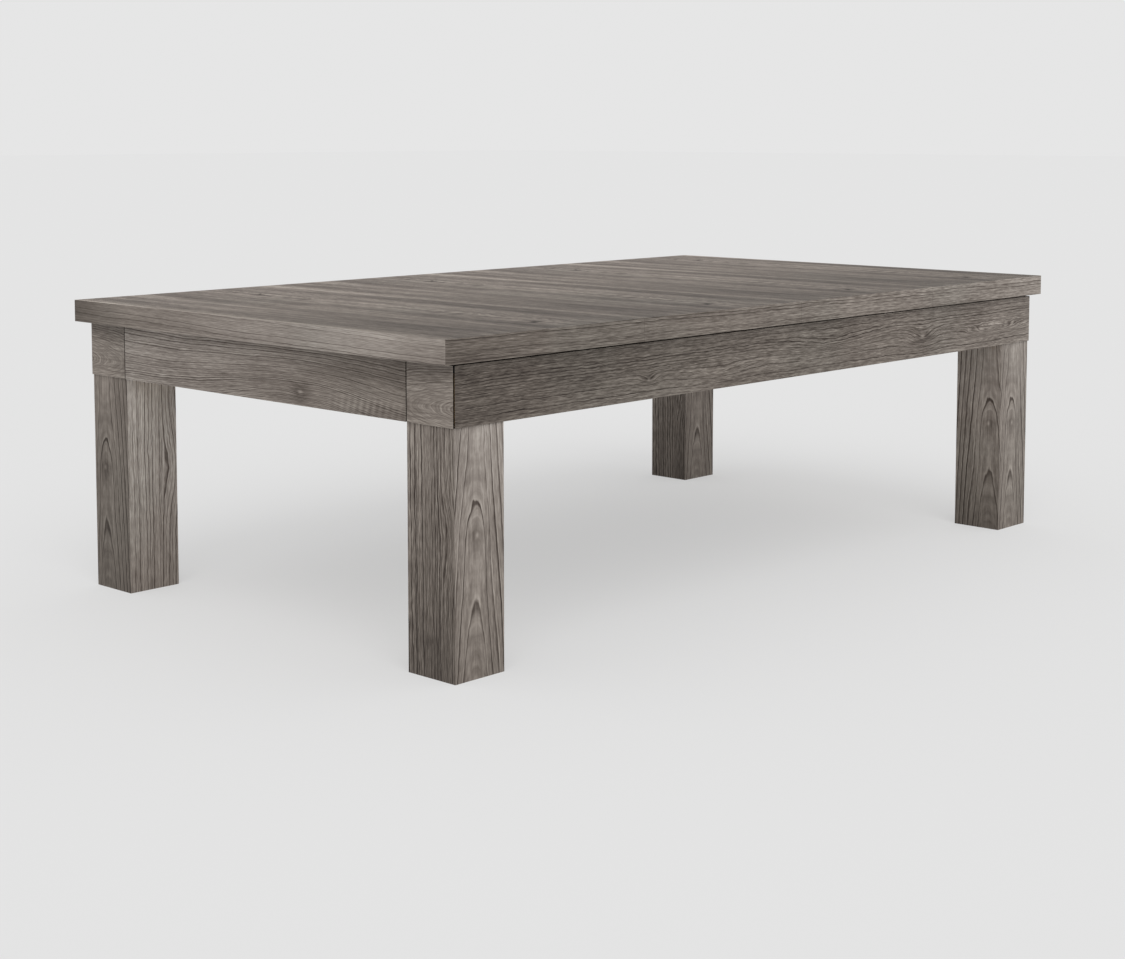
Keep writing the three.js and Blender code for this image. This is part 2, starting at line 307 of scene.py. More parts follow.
def growth_rings(graph, figure, u, v, w):
    """Distance from the log's middle, counted in rings, the log's own shading, and how
    squarely the rings cross the face."""
    seed = figure.seed
    slow = stretched(graph, (u, v, w), 3.0, 11.0, (seed, seed * 1.7, -seed))
    drift = graph.split(graph.noise(slow, detail=1.5, output="Color"))
    quick = stretched(graph, (u, v, w), 22.0, 55.0, (seed, seed, seed))
    tremble = graph.noise(quick, detail=1.5)

    aside = graph.add(v, graph.linear(u, -figure.lean[0], -figure.pith[0]))
    aside = graph.add(aside, graph.centred(drift[0], figure.wander * NOISE_REACH))
    deep = graph.add(w, graph.linear(u, -figure.lean[1], -figure.pith[1]))
    deep = graph.add(deep, graph.centred(drift[1], figure.wander * NOISE_REACH))
    radius = graph.math("SQRT", graph.add(graph.times(aside, aside), graph.times(deep, deep)))
    rings = graph.linear(radius, 1 / figure.ring, figure.phase)
    rings = graph.add(rings, graph.centred(tremble, figure.ripple * NOISE_REACH))
    for along, across, length, width, count in figure.swells:
        rings = graph.add(rings, graph.times(hill(graph, u, v, along, across, length, width), count))
    for along, across, size in figure.knots:
        around = hill(graph, u, v, along, across, size * 5, size * 2)
        rings = graph.add(rings, graph.times(around, size / figure.ring * figure.knot_swell))
    square = graph.math("DIVIDE", graph.math("ABSOLUTE", aside), radius)
    return rings, drift[2], square


def ring_sides(graph, rings, steep):
    """How far a place is past the start of its ring and short of its end, as the face shows
    it. Where the face cuts the rings at a slant they are wide, but their edges stay thin."""
    share = graph.math("FRACT", rings)
    behind = graph.math("DIVIDE", share, steep)
    ahead = graph.math("DIVIDE", graph.linear(share, -1.0, 1.0), steep)
    return behind, ahead


def ring_strength(graph, rings, seed):
    """A number from 0 to 1 that stays the same all round one ring."""
    number = graph.math("FLOOR", rings)
    return graph.random_for(graph.linear(number, 1.0, round(seed) + 0.5))


def knot_marks(graph, figure, u, v):
    """A dark ring round a pale eye at each knot, as a change of brightness."""
    total = 0.0
    for along, across, size in figure.knots:
        dark = hill(graph, u, v, along, across, size * 2.4, size * 1.7)
        pale = hill(graph, u, v, along, across + size * 0.3, size * 0.8, size * 0.5)
        total = graph.add(graph.linear(dark, -KNOT_RING_DEPTH, total),
                          graph.linear(pale, KNOT_EYE))
    return total


def curl_marks(graph, figure, u, v):
    """Short bars across the grain, as where a board bends round a knot."""
    along, across, length, width, spacing, strength = figure.curl
    bent = graph.add(u, graph.linear(v, 0.25))
    bars = graph.math("SINE", graph.linear(bent, 2 * math.pi / spacing, 0.0))
    return graph.times(bars, hill(graph, u, v, along, across, length, width), strength)


def ring_lines(graph, figure, rings, square):
    """The dark line that ends each ring, the pale line after it, and finer dark lines twice
    as close, each ring's of its own strength."""
    steep = graph.math("MAXIMUM", square, FLATTEST_CUT)
    behind, ahead = ring_sides(graph, rings, steep)
    strength = ring_strength(graph, rings, figure.seed * 7.3)
    strength = graph.linear(graph.times(strength, strength), 1 - figure.even, figure.even)
    dark = graph.times(graph.smooth(ahead, 0.14, 0.50, 1.0, 0.0), graph.smooth(ahead, 0.0, 0.10))
    pale = graph.times(graph.smooth(behind, 0.0, 0.06), graph.smooth(behind, 0.06, 0.35, 1.0, 0.0))

    fine_rings = graph.linear(rings, 2.0, 0.37)
    _, fine_ahead = ring_sides(graph, fine_rings, steep)
    fine_strength = ring_strength(graph, fine_rings, figure.seed * 3.1)
    fine = graph.times(graph.smooth(fine_ahead, 0.2, 0.6, 1.0, 0.0),
                       graph.smooth(fine_ahead, 0.0, 0.15), graph.smooth(square, 0.2, 0.75))
    return graph.times(dark, strength), graph.times(pale, strength), graph.times(fine, fine_strength)


def wood_surface(graph, figure, u, v, w, length):
    """The brightness, the brightness along the board, and the relief of sawn wood."""
    seed = figure.seed
    rings, drift, square = growth_rings(graph, figure, u, v, w)
    dark_line, pale_line, fine_line = ring_lines(graph, figure, rings, square)

    # Pores follow the rings, and the other marks run straight along the board
    flow = graph.times(rings, figure.ring)
    pores = graph.noise(graph.vector(graph.linear(u, 30.0, seed), graph.times(flow, 420.0), v),
                        detail=2.5, roughness=0.6)
    place = (u, v, w)
    brushed = graph.noise(stretched(graph, place, 8.0, 190.0, (-seed, seed, seed)),
                          detail=3.0, roughness=0.65)
    flame = graph.noise(stretched(graph, place, 34.0, 230.0, (seed, -seed, seed)),
                        detail=2.5, roughness=0.6, distortion=0.8)
    stripe = graph.noise(stretched(graph, place, 0.9, 17.0, (seed, seed, seed)),
                         detail=2.5, roughness=0.6)

    light = graph.linear(drift, 0.30, 0.40)
    light = graph.add(light, graph.times(dark_line, -LINE_DEPTH * figure.lines))
    light = graph.add(light, graph.times(pale_line, PALE_LINE * figure.lines))
    light = graph.add(light, graph.times(fine_line, -FINE_LINE_DEPTH * figure.fine))
    light = graph.add(light, graph.centred(pores, PORE_CONTRAST * figure.streaks))
    light = graph.add(light, graph.centred(brushed, BRUSH_CONTRAST * figure.streaks))
    flecked = along_board(graph, figure, u, length, figure.flecks)
    light = graph.add(light, graph.times(graph.centred(flame, FLECK_CONTRAST), flecked))
    light = graph.add(light, graph.centred(stripe, BAND_CONTRAST * figure.bands))
    if figure.knots:
        light = graph.add(light, knot_marks(graph, figure, u, v))
    if figure.curl:
        light = graph.add(light, curl_marks(graph, figure, u, v))

    tone = along_board(graph, figure, u, length, figure.tone)
    relief = graph.add(graph.times(dark_line, -0.7), graph.times(pores, 0.8), brushed)
    return light, tone, relief


def along_board(graph, figure, u, length, values):
    """A number that changes from a board's start to its end, and may be given its middle."""
    start, end = values[0], values[-1]
    middle = values[1] if len(values) > 2 else (start + end) / 2
    part = graph.linear(u, 1 / (figure.length or length))
    curve = 2 * (start + end - 2 * middle)
    slope = graph.linear(part, curve, end - start - curve)
    return graph.linear(part, slope, start)


def distances(graph, low, high):
    """X, Y and Z of the surface, and how far it is inside each pair of a box's faces."""
    parts = graph.split(graph.place())
    gaps = []
    for part, bottom, top in zip(parts, low, high):
        below = graph.linear(part, 1.0, -bottom)
        above = graph.linear(part, -1.0, top)
        gaps.append(graph.math("MINIMUM", below, above))
    return parts, gaps


def rim_distance(graph, gaps):
    """How far a place on a box's surface is from the box's nearest edge."""
    smaller = graph.math("MINIMUM", gaps[0], gaps[1])
    larger = graph.math("MAXIMUM", gaps[0], gaps[1])
    return graph.math("MAXIMUM", smaller, graph.math("MINIMUM", larger, gaps[2]))


def washed(graph, bare, tone, tint):
    """Wood under a grey wash that took unevenly: some patches stay brown, some go cool.
    Darker wood, and wood darkened by the tone's painted shade, is also a little warmer."""
    patches = graph.noise(graph.place(), detail=2.0, scale=2.3)
    warm = (1.02, 1.0, 0.985, 1)
    cool = (0.995, 1.0, 0.985, 1)
    colour = graph.mix(graph.smooth(patches, 0.48, 0.72), warm, cool)
    colour = graph.mix(1.0, colour, bare, "MULTIPLY")
    red = graph.times(tone, graph.linear(tone, -WARMTH, 1.0 + WARMTH + tint))
    blue = graph.times(tone, graph.linear(tone, WARMTH, 1.0 - WARMTH - tint))
    return graph.mix(1.0, colour, graph.vector(red, tone, blue), "MULTIPLY")


def wood(name, low, high, grain, figures, stops=OAK, gloss=0.0, turned=False):
    """Sawn wood that fills a box. grain is the axes along, across and in. Where two figures
    are given, the second is on the faces across the board, in a mitre with the first.
    turned measures along the board from its other end."""
    graph = Graph(name)
    parts, gaps = distances(graph, low, high)
    along, across, deep = ("XYZ".index(axis) for axis in grain)
    length = high[along] - low[along]
    start = (high[along] if turned else -low[along]) + figures[0].offset
    u = graph.linear(parts[along], -1.0 if turned else 1.0, start)
    v = graph.linear(parts[across], 1.0, -(low[across] + high[across]) / 2)
    light, tone, relief = wood_surface(graph, figures[0], u, v, gaps[deep], length)
    if len(figures) > 1:
        v = graph.linear(parts[deep], 1.0, -(low[deep] + high[deep]) / 2)
        other = wood_surface(graph, figures[1], u, v, gaps[across], length)
        side = graph.math("LESS_THAN", gaps[across], gaps[deep])
        light, tone, relief = (graph.choose(side, first, second)
                               for first, second in zip((light, tone, relief), other))

    # Cut ends drank more of the stain, so the joints between boards look dark
    inside = graph.math("MINIMUM", gaps[across], gaps[deep])
    end_grain = graph.smooth(inside, 0.6 * MM, 1.8 * MM)
    tone = graph.times(tone, graph.linear(end_grain, -END_GRAIN_STAIN, 1.0))

    # Handled edges are a little paler and smoother, broken up by the relief
    rim = graph.add(rim_distance(graph, gaps), graph.linear(relief, 3 * MM, -1.2 * MM))
    worn = graph.smooth(rim, 0.0, 4 * MM, 1.0, 0.0)
    light = graph.add(light, graph.times(worn, WEAR))
    if figures[0].pale_sides:
        beside = graph.smooth(gaps[across], 0.0, 35 * MM, figures[0].pale_sides, 0.0)
        light = graph.add(light, beside)

    graph.set("Base Color", washed(graph, graph.ramp(light, stops), tone, figures[0].tint))
    rough = graph.add(graph.linear(relief, -0.10, 0.74 - gloss), graph.times(worn, -0.08))
    graph.set("Roughness", rough)
    graph.set("Specular IOR Level", 0.22)
    graph.bump(relief, 0.4, 0.0005)
    return graph.material


# ------------------------------------------------ other materials

def plywood(name, low, high):
    """Birch veneers: pale grain on the faces, and stripes through the thickness."""
    graph = Graph(name)
    parts, gaps = distances(graph, low, high)
    figure = Figure(ring=0.012, wander=0.02, lines=0.5, streaks=0.5, flecks=(0.1, 0.1), seed=5.0)
    middle = (low[0] + high[0]) / 2
    light, _, relief = wood_surface(graph, figure, graph.linear(parts[1], 1.0, -low[1]),
                                    graph.linear(parts[0], 1.0, -middle), gaps[2], 1.0)
    plies = 11
    layer = graph.math("FRACT", graph.linear(parts[2], plies / 2 / (high[2] - low[2])))
    stripe = graph.times(graph.smooth(layer, 0.42, 0.5), graph.smooth(layer, 0.92, 1.0, 1.0, 0.0))
    nearest_side = graph.math("MINIMUM", gaps[0], gaps[1])
    on_edge = graph.math("LESS_THAN", nearest_side, gaps[2])
    light = graph.add(light, graph.times(on_edge, stripe, -0.35), graph.times(on_edge, 0.08))
    graph.set("Base Color", graph.ramp(light, SOFTWOOD))
    graph.set("Roughness", 0.8)
    graph.bump(relief, 0.3, 0.0004)
    return graph.material


def slate():
    graph = Graph("honed_slate")
    place = graph.place()
    cloud = graph.noise(place, detail=4.0, roughness=0.6, scale=7.0)
    fine = graph.noise(place, detail=3.0, roughness=0.7, scale=420.0)
    x, y, z = graph.split(place)
    bedding = graph.noise(graph.vector(graph.times(x, 9.0), graph.times(y, 3.0), graph.times(z, 300.0)),
                          detail=3.0, roughness=0.6)
    light = graph.add(graph.linear(cloud, 0.5), graph.linear(fine, 0.35), graph.linear(bedding, 0.3, -0.1))
    graph.set("Base Color", graph.ramp(light, between((42, 46, 50), (112, 117, 121))))
    graph.set("Roughness", graph.linear(fine, 0.3, 0.52))
    graph.set("Specular IOR Level", 0.35)
    graph.bump(graph.add(fine, bedding), 0.25, 0.0006)
    return graph.material


def napped_cloth(name, low_colour, high_colour):
    """Woven wool with a brushed nap: fine thread, soft patches and a faint direction."""
    graph = Graph(name)
    place = graph.place()
    x, y, z = graph.split(place)
    thread = 2 * math.pi / 0.0011
    warp = graph.math("SINE", graph.times(graph.add(x, z), thread))
    weft = graph.math("SINE", graph.times(graph.add(y, z), thread))
    weave = graph.linear(graph.times(warp, weft), 0.5, 0.5)
    nap = graph.noise(graph.vector(graph.times(x, 240.0), graph.times(y, 900.0), graph.times(z, 900.0)),
                      detail=3.0, roughness=0.7)
    patch = graph.noise(place, detail=3.0, roughness=0.55, scale=3.2)
    light = graph.add(graph.linear(nap, 0.7, -0.05), graph.linear(patch, 0.4, -0.1),
                      graph.linear(weave, 0.16))
    graph.set("Base Color", graph.ramp(light, between(low_colour, high_colour)))
    graph.set("Roughness", 0.93)
    graph.set("Specular IOR Level", 0.15)
    graph.set("Sheen Weight", 0.35)
    graph.set("Sheen Roughness", 0.5)
    graph.set("Sheen Tint", (0.55, 0.8, 0.68, 1))
    graph.bump(graph.add(weave, nap), 0.35, 0.0003)
    return graph.material


def moulded_plastic():
    """Black pocket castings with a fine leather grain."""
    graph = Graph("pocket_moulding")
    place = graph.place()
    grain = graph.cells(place, 420.0)
    dust = graph.noise(place, detail=4.0, roughness=0.65, scale=18.0)
    light = graph.add(graph.linear(dust, 0.7), graph.linear(grain, 0.25))
    graph.set("Base Color", graph.ramp(light, between((16, 15, 15), (52, 50, 49))))
    graph.set("Roughness", graph.linear(dust, 0.25, 0.38))
    graph.bump(graph.add(grain, graph.linear(dust, 0.4)), 0.5, 0.0004)
    return graph.material


def zinc_plate():
    graph = Graph("zinc_plate")
    place = graph.place()
    spangle = graph.noise(place, detail=3.0, roughness=0.6, scale=90.0)
    scratch = graph.noise(place, detail=4.0, roughness=0.7, distortion=2.0, scale=260.0)
    light = graph.add(graph.linear(spangle, 0.6), graph.linear(scratch, 0.4))
    graph.set("Base Color", graph.ramp(light, between((138, 140, 142), (214, 214, 208))))
    graph.set("Metallic", 1.0)
    graph.set("Roughness", graph.linear(scratch, 0.3, 0.22))
    graph.bump(scratch, 0.2, 0.0002)
    return graph.material


def pearl():
    graph = Graph("pearl_inlay")
    place = graph.place()
    swirl = graph.noise(place, detail=3.0, roughness=0.5, distortion=3.0, scale=190.0)
    graph.set("Base Color", graph.ramp(swirl, between((168, 172, 170), (236, 232, 224))))
    graph.set("Roughness", graph.linear(swirl, 0.2, 0.18))
    graph.set("Coat Weight", 0.5)
    graph.bump(swirl, 0.1, 0.0002)
    return graph.material


# ------------------------------------------------ drawing pieces

def dress(node_name, material, bevel=1.2):
    """Gives a CAD node its material and eases its edges, in millimetres."""
    piece = nodes[node_name]
    piece.data.materials.clear()
    piece.data.materials.append(material)
    ease(piece, bevel)


def ease(piece, width, segments=2):
    eased = piece.modifiers.new("eased_edges", "BEVEL")
    eased.width = width * MM
    eased.segments = segments
    eased.limit_method = "ANGLE"
    eased.angle_limit = math.radians(30)


def finish_piece(name, form, material, body, smooth=True):
    """Turns a bmesh into a piece of one material that rides on a body."""
    bmesh.ops.recalc_face_normals(form, faces=form.faces)
    mesh = bpy.data.meshes.new(name)
    form.to_mesh(mesh)
    form.free()
    for face in mesh.polygons:
        face.use_smooth = smooth
    if smooth:
        mesh.set_sharp_from_angle(angle=math.radians(35))
    mesh.materials.append(material)
    piece = bpy.data.objects.new(name, mesh)
    bpy.context.scene.collection.objects.link(piece)
    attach(piece, body)
    return piece


def add_turned(form, profile, x, y, sides=32):
    """A closed turned shape. profile is (radius, height) from the axis back to the axis."""
    turn = [2 * math.pi * step / sides for step in range(sides)]
    rings = []
    for radius, height in profile:
        if radius == 0:
            rings.append([form.verts.new((x, y, height))])
        else:
            rings.append([form.verts.new((x + radius * math.cos(a), y + radius * math.sin(a), height))
                          for a in turn])
    for lower, upper in zip(rings, rings[1:]):
        for step in range(sides):
            ahead = (step + 1) % sides
            if len(lower) == 1:
                corners = [lower[0], upper[step], upper[ahead]]
            elif len(upper) == 1:
                corners = [lower[step], lower[ahead], upper[0]]
            else:
                corners = [lower[step], lower[ahead], upper[ahead], upper[step]]
            form.faces.new(corners)


def add_skin(form, rows):
    """Faces between rows of points that each go once round a closed shape, and its ends."""
    count = len(rows[0])
    for before, after in zip(rows, rows[1:]):
        for index in range(count):
            ahead = (index + 1) % count
            form.faces.new([before[index], before[ahead], after[ahead], after[index]])
    form.faces.new(rows[0])
    form.faces.new(rows[-1])


def add_block(form, low, high):
    """A box with the corners low and high."""
    corners = [form.verts.new((x, y, z)) for x in (low[0], high[0])
               for y in (low[1], high[1]) for z in (low[2], high[2])]
    for side in ((0, 1, 3, 2), (4, 6, 7, 5), (0, 4, 5, 1), (2, 3, 7, 6), (0, 2, 6, 4), (1, 5, 7, 3)):
        form.faces.new([corners[index] for index in side])


def rounded_disc(radius, bottom, top, rounding):
    """The profile of a disc whose top edge is rounded."""
    profile = [(0, bottom), (radius, bottom), (radius, top - rounding)]
    for step in range(1, 4):
        angle = math.pi / 2 * step / 3
        profile.append((radius - rounding * (1 - math.cos(angle)), top - rounding * (1 - math.sin(angle))))
    profile.append((0, top))
    return profile


def add_hex_bolt(form, x, y, seat, direction):
    """A washer and a hexagon head, standing off a seat up or down."""
    washer = [(0, 0), (11.5, 0), (11.5, 1.6), (11, 2), (0, 2)]
    head = [(0, 2), (7.5, 2), (7.5, 7), (6.6, 8), (0, 8)]
    for profile, sides in ((washer, 28), (head, 6)):
        scaled = [(radius * MM, seat + direction * height * MM) for radius, height in profile]
        add_turned(form, scaled, x, y, sides)


# ------------------------------------------------ sizes from the frame

def low_corner(node):
    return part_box(node)[0]


def high_corner(node):
    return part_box(node)[1]


SLATE_TOP = high_corner("slate_middle").z
SLATE_BOTTOM = low_corner("slate_middle").z
RAIL_TOP = high_corner("rail_front_left").z
LEAF_BOTTOM = low_corner("leaf_2_panel").z
RAIL_INNER_X = low_corner("rail_right").x
RAIL_INNER_Y = low_corner("rail_back_left").y
RAIL_OUTER_Y = high_corner("rail_back_left").y
NOSE_X = low_corner("cushion_right").x
NOSE_Y = low_corner("cushion_back_left").y
RAIL_MIDDLE_Y = (RAIL_INNER_Y + RAIL_OUTER_Y) / 2
RAIL_MIDDLE_X = (RAIL_INNER_X + high_corner("rail_right").x) / 2

CORNER_HOLE = Vector((NOSE_X + 25 * MM, NOSE_Y + 25 * MM))
SIDE_HOLE = Vector((0.0, NOSE_Y + 58 * MM))
CORNER_HOLE_RADIUS = 60 * MM
SIDE_HOLE_RADIUS = 54 * MM
CUP_WALL = 3 * MM
CLOTH_THICKNESS = 0.9 * MM


# ------------------------------------------------ oak on the frame

def oak_node(node, grain, *figures, bevel=1.2, **options):
    bottom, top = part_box(node)
    dress(node, wood(f"oak_{node}", bottom, top, grain, figures, **options), bevel)


def dress_dining_top():
    # The panel's tone is painted light: the top is painted darker at the front and lighter towards the
    # back, a painted reflection of the kind that a grazing view gives the top.
    panel = Figure(pith=(0.095, 0.16), lean=(0.01, -0.05), ring=0.009, wander=0.007, ripple=0.12,
                   seed=3.0, tone=(0.545, 0.62, 1.20), lines=1.1, fine=1.1, streaks=1.3,
                   flecks=(0.2, 0.2), bands=2.0, pale_sides=0.15, tint=0.02)
    board_start = low_corner("leaf_1_panel").x
    board_length = high_corner("leaf_4_panel").x - board_start
    for leaf in LEAVES:
        oak_node(f"leaf_{leaf}_panel", "YXZ", panel, bevel=0.5)
        for side in LONG_SIDES:
            node = f"leaf_{leaf}_{side}_skirt"
            band = Figure(pith=(0.16, 0.10), lean=(-0.018, 0.01), wander=0.003, ripple=0.12,
                          seed=12.0, offset=low_corner(node).x - board_start,
                          length=board_length, tone=(0.63, 0.90, 1.20), lines=0.9, fine=1.2,
                          streaks=1.2, flecks=(0.2, 0.2))
            oak_node(node, "XZY", band, bevel=0.6)
    end_band = Figure(pith=(0.16, 0.10), lean=(0.012, 0.01), wander=0.003, ripple=0.12,
                      seed=24.0, tone=(1.24, 1.31, 0.47), lines=0.6, fine=0.7, streaks=0.55,
                      flecks=(0.1, 0.1))
    for leaf in END_LEAVES:
        oak_node(f"leaf_{leaf}_end_skirt", "YZX", end_band, bevel=0.6)


def dress_aprons():
    long_board = Figure(pith=(-0.15, 0.06), lean=(0.006, 0.008), ring=0.0065, wander=0.003,
                        ripple=0.20, seed=31.0, tone=(0.49, 0.75, 1.04), lines=0.9, streaks=1.3,
                        flecks=(1.0, 0.3),
                        swells=((0.93, -0.03, 0.12, 0.022, 2.6), (1.45, 0.01, 0.18, 0.03, 3.0),
                                (2.28, -0.018, 0.16, 0.014, 3.4)),
                        knots=((0.665, -0.024, 0.008), (1.90, -0.014, 0.016)))
    for side in LONG_SIDES:
        oak_node(f"apron_{side}", "XZY", long_board)
    end_board = Figure(pith=(0.30, 0.06), lean=(0.02, 0.0), ring=0.0062, ripple=0.15, seed=41.0,
                       tone=(0.74, 1.17, 1.37), fine=1.1, streaks=0.9, flecks=(0.25, 0.25),
                       swells=((0.38, -0.10, 0.30, 0.12, 14.0),),
                       knots=((0.38, -0.041, 0.012),), knot_swell=-1.0,
                       curl=(0.13, -0.052, 0.12, 0.022, 0.023, 0.09))
    for side in ENDS:
        oak_node(f"apron_{side}", "YZX", end_board)
    arches = Figure(pith=(-0.026, 0.012), lean=(0.0, 0.19), ring=0.0055, wander=0.003,
                    ripple=0.2, seed=50.0, tone=(0.96, 0.88), lines=0.6, fine=0.6,
                    flecks=(0.3, 0.3))
    for corner in CORNERS:
        oak_node(f"corner_panel_{corner}", "YZX", arches, turned="front" not in corner)


def arched_board(middle, tone):
    """A leg board with pointed arches one above the other and a knot between them."""
    return Figure(pith=(middle, 0.0774), lean=(0.0, 0.060), ring=0.0108, phase=-0.17,
                  wander=0.0007, ripple=0.06, seed=59.6, tone=tone,
                  lines=1.1, even=0.55, fine=0.6, streaks=0.8, flecks=(0.2, 0.2),
                  swells=((0.33, middle, 0.095, 0.045, -0.6),
                          (0.62, middle + 0.006, 0.13, 0.035, -0.9),
                          (0.20, middle + 0.052, 0.30, 0.020, 0.5)),
                  knots=((0.335, middle, 0.011),), knot_swell=0.0)


def straight_board(bulge, tone, seed, contrast):
    """A leg board with straight grain that bulges round a knot at one side."""
    return Figure(pith=(-2 * bulge, 0.08), lean=(0.01, 0.01), ring=0.009, wander=0.003,
                  ripple=0.15, seed=seed, tone=tone, lines=1.7 * contrast, fine=2.0 * contrast,
                  streaks=1.4 * contrast, flecks=(0.2, 0.2), swells=((0.33, bulge, 0.12, 0.03, -2.5),))


def dress_legs():
    """Each leg is four boards in a mitre: one kind on two sides, and one on the other two."""
    # The tones paint light and shade into the legs: every face is painted lighter towards its top, as if
    # lit from above, the sides facing along X are painted darker than those facing along Y, and the back
    # left leg's Y sides are painted lightest at the top, where the table shades them.
    legs = {
        "front_left": ("ZXY", arched_board(-0.012, (0.77, 1.46)),
                       straight_board(-0.065, (0.49, 0.97), 70.0, 1.0)),
        "front_right": ("ZXY", arched_board(-0.012, (0.82, 1.34)),
                        arched_board(-0.040, (0.45, 1.38))),
        "back_left": ("ZYX", arched_board(0.028, (0.49, 0.86)),
                      straight_board(0.065, (0.97, 2.00), 72.0, 0.6)),
        "back_right": ("ZXY", arched_board(-0.012, (0.82, 1.34)),
                       straight_board(-0.065, (0.49, 0.97), 73.0, 1.0)),
    }
    for corner, (grain, first, second) in legs.items():
        oak_node(f"leg_{corner}", grain, first, second, bevel=1.5)


def dress_rails():
    figure = Figure(pith=(0.02, 0.12), lean=(0.01, 0.01), ring=0.007, seed=80.0, lines=0.8,
                    flecks=(0.4, 0.4))
    for corner in CORNERS:
        oak_node(f"rail_{corner}", "XYZ", figure, bevel=2.0, gloss=0.12)
    for side in ENDS:
        oak_node(f"rail_{side}", "YXZ", figure, bevel=2.0, gloss=0.12)


# ------------------------------------------------ the frame's other pieces

def dress_cabinet():
    boards = {f"cabinet_{side}": "XZY" for side in LONG_SIDES}
    boards |= {f"cabinet_{side}": "YZX" for side in ENDS}
    boards |= {f"cross_beam_{side}": "YZX" for side in ENDS}
    for number, (node, grain) in enumerate(boards.items()):
        figure = Figure(pith=(0.03, 0.09), ring=0.008, wander=0.01, seed=90.0 + number, lines=0.9,
                        streaks=0.5, flecks=(0.1, 0.1),
                        knots=((0.5, 0.02, 0.014), (1.1, -0.03, 0.01)))
        bottom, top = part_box(node)
        dress(node, wood(f"softwood_{node}", bottom, top, grain, (figure,), stops=SOFTWOOD), 1.5)
    for side in ENDS:
        node = f"leg_board_{side}"
        dress(node, plywood(f"plywood_{side}", *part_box(node)), 0.8)


def dress_stone_and_metal():
    stone = slate()
    for part in ("left", "middle", "right"):
        dress(f"slate_{part}", stone, 1.5)
    for corner in CORNERS:
        dress(f"foot_{corner}", ZINC, 0.8)
        dress(f"pocket_{corner}", PLASTIC, 1.5)
    for side in LONG_SIDES:
        dress(f"pocket_{side}_middle", PLASTIC, 1.5)


# ------------------------------------------------ cloth and cushions

def arc(centre, radius, start, end, steps):
    """Points on a circle from one angle to another, in degrees."""
    turn = [math.radians(start + (end - start) * step / steps) for step in range(steps + 1)]
    return [(centre[0] + radius * math.cos(a), centre[1] + radius * math.sin(a)) for a in turn]


def make_bed_cloth():
    """The cloth stretched over the slates, cut round the six pockets."""
    corner_radius = CORNER_HOLE_RADIUS + CUP_WALL
    side_radius = SIDE_HOLE_RADIUS + CUP_WALL
    reach = RAIL_INNER_Y - CORNER_HOLE.y
    corner_open = math.degrees(math.asin(reach / corner_radius))
    side_open = math.degrees(math.asin((SIDE_HOLE.y - RAIL_INNER_Y) / side_radius))

    # One quarter of the outline, from the middle of a long side to the middle of an end
    quarter = arc(SIDE_HOLE, side_radius, -90, -side_open, 10)
    quarter += arc(CORNER_HOLE, corner_radius, 180 - corner_open, 270 + corner_open, 16)
    outline = quarter + [(x, -y) for x, y in reversed(quarter)]
    outline += [(-x, -y) for x, y in quarter[1:]]
    outline += [(-x, y) for x, y in reversed(quarter[1:])]

    form = bmesh.new()
    base = [form.verts.new((x, y, SLATE_TOP)) for x, y in outline]
    face = form.faces.new(base)
    pulled = bmesh.ops.extrude_face_region(form, geom=[face])
    raised = [item for item in pulled["geom"] if isinstance(item, bmesh.types.BMVert)]
    bmesh.ops.translate(form, verts=raised, vec=(0, 0, CLOTH_THICKNESS))
    bmesh.ops.triangulate(form, faces=[item for item in form.faces if len(item.verts) > 4])
    cloth = finish_piece("bed_cloth_sheet", form, CLOTH, "table", smooth=False)
    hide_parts("bed_cloth")


def cushion_section():
    """Depth behind the nose and height above the slate, in millimetres."""
    nose = [(2.2 - 2.2 * math.cos(math.radians(a)), 34 + 2.0 * math.sin(math.radians(a)))
            for a in range(-60, 91, 25)]
    tucked = [(48.2, 37.9), (49.0, 36.6), (50.8, 36.4)]
    return [(50.8, 10.2), *nose, (5.0, 37.3), (14.0, 37.8), *tucked]


def make_cushion(name, start, end, start_slant, end_slant, place):
    """A rubber cushion in its cloth, drawn along X from its nose line and then placed."""
    form = bmesh.new()
    section = cushion_section()
    slices = 24
    rows = []
    for step in range(slices + 1):
        row = []
        for depth, height in section:
            first = start - depth * MM * start_slant
            last = end + depth * MM * end_slant
            x = first + (last - first) * step / slices
            row.append(form.verts.new((x, depth * MM, height * MM)))
        rows.append(row)
    add_skin(form, rows)
    bmesh.ops.transform(form, matrix=place, verts=form.verts)
    cushion = finish_piece(f"{name}_cover", form, CUSHION_CLOTH, "table")
    ease(cushion, 1.5, 3)
    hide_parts(name)


def make_cushions():
    jaw_side, jaw_corner = 70 * MM, 90 * MM
    side_slant, corner_slant = 0.25, 1.275
    for corner, (flip_x, flip_y) in CORNERS.items():
        place = Matrix.Diagonal((flip_x, flip_y, 1, 1)) @ Matrix.Translation((0, NOSE_Y, SLATE_TOP))
        make_cushion(f"cushion_{corner}", jaw_side, NOSE_X - jaw_corner, side_slant, corner_slant, place)
    reach = NOSE_Y - jaw_corner
    for side, flip in ENDS.items():
        turn = Matrix.Rotation(-math.pi / 2, 4, "Z")
        place = Matrix.Diagonal((flip, 1, 1, 1)) @ Matrix.Translation((NOSE_X, 0, SLATE_TOP)) @ turn
        make_cushion(f"cushion_{side}", -reach, reach, corner_slant, corner_slant, place)


# ------------------------------------------------ fittings

